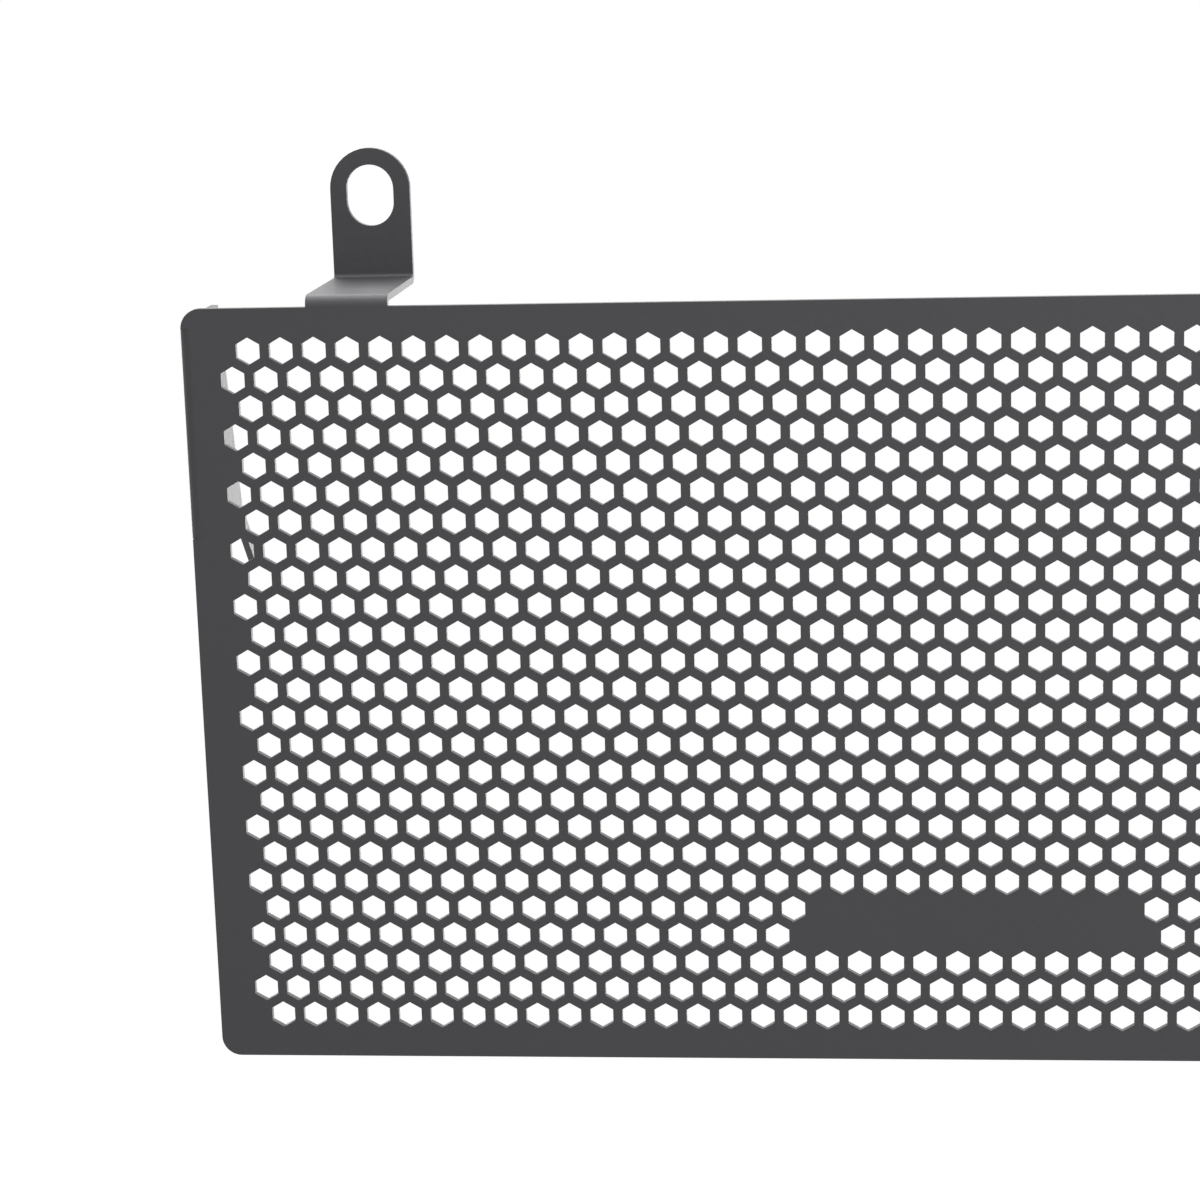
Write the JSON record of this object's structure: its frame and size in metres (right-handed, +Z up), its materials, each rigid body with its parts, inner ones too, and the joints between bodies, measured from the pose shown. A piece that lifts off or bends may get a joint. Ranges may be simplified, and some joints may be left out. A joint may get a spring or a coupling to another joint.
{
  "type": "motorcycle radiator guard",
  "caption": "Flat folded sheet-metal radiator guard with a field of hexagonal holes, a bare nameplate strip, cranked top tabs with slots and folded side lugs.",
  "frame": {"origin": "midway between the two top slots, on the rear faces of the tabs, where the guard is bolted on", "axes": "+Z up, +Y back towards the radiator, the panel's front faces -Y, +X along the panel's width"},
  "size_m": [0.33, 0.058, 0.1941],
  "materials": {
    "powder_coat": "satin"
  },
  "bodies": {
    "root": {"guard": "powder_coat"}
  },
  "joints": []
}
